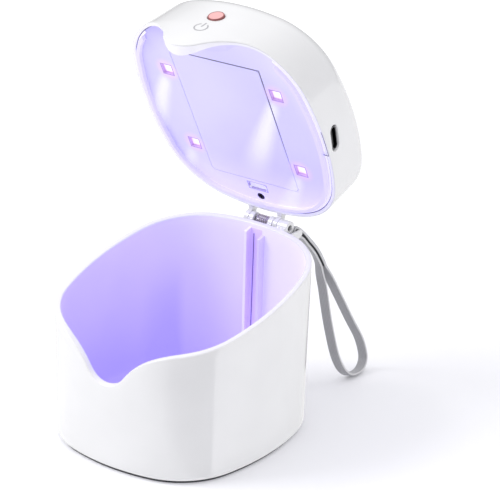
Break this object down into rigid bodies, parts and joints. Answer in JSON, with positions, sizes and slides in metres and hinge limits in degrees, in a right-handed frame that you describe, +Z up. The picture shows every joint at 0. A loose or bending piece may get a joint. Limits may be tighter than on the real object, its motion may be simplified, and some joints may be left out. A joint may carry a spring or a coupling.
{
  "type": "pacifier sterilizer case",
  "caption": "Pocket steriliser case: deep rounded cup with a sloping rim, spring-hinged lamp lid with charging port and button, and a wrist strap.",
  "frame": {"origin": "on the surface the case stands on, under the middle of the cup", "axes": "+X to the side with the charging port and the strap, -Y the notched front, +Y the hinge, +Z up; the lid is stored open"},
  "size_m": [0.0828, 0.1312, 0.1575],
  "materials": {
    "white_abs": "moulded, polished",
    "liner_abs": "moulded, satin gloss",
    "pad_rubber": "matte",
    "pin_steel": "ground",
    "spring_steel": "drawn wire",
    "strap_polyester": "flat woven",
    "window_glass": "clear quartz",
    "lamp_ceramic": "sintered",
    "circuit_board": "solder mask",
    "chip_black": "moulded",
    "socket_steel": "stamped",
    "cell_foil": "foil pouch",
    "pad_foam": "open cell",
    "lead_red": "extruded",
    "button_pink": "translucent",
    "led_red": "clear epoxy"
  },
  "bodies": {
    "cup": {"cup_shell": "white_abs", "base_pad": "pad_rubber", "hinge_pin": "pin_steel", "torsion_spring": "spring_steel", "strap_bar": "pin_steel"},
    "lid": {"lid_shell": "white_abs", "lid_liner": "liner_abs", "service_panel": "liner_abs", "led_windows": "window_glass", "uv_leds": "lamp_ceramic", "led_boards": "circuit_board", "main_board": "circuit_board", "board_chips": "chip_black", "board_screws": "pin_steel", "usb_board": "circuit_board", "usb_socket": "socket_steel", "usb_tongue": "chip_black", "battery": "cell_foil", "battery_pad": "pad_foam", "battery_leads": "lead_red", "button_board": "circuit_board", "tact_switch": "chip_black", "indicator_led": "led_red", "liner_screw": "pin_steel"},
    "button": {"power_button": "button_pink", "switch_stem": "chip_black"},
    "strap": {"wrist_strap": "strap_polyester"}
  },
  "joints": [
    {"name": "lid_hinge", "type": "hinge", "parent": "cup", "child": "lid", "pos_m": [0, 0.049, 0.06799], "axis": [1, 0, 0], "range_deg": [0, 75], "stiffness_Nm_per_rad": 0.015, "springref_deg": -45.84},
    {"name": "button_press", "type": "slide", "parent": "lid", "child": "button", "axis": [0, 0.2588, -0.9659], "range_m": [0, 0.0005], "stiffness_N_per_m": 1500, "springref_m": -0.0005},
    {"name": "strap_swing", "type": "hinge", "parent": "cup", "child": "strap", "pos_m": [0.01105, 0.0534, 0.06499], "axis": [0.9744, 0, 0.225], "range_deg": [0, 40]}
  ]
}
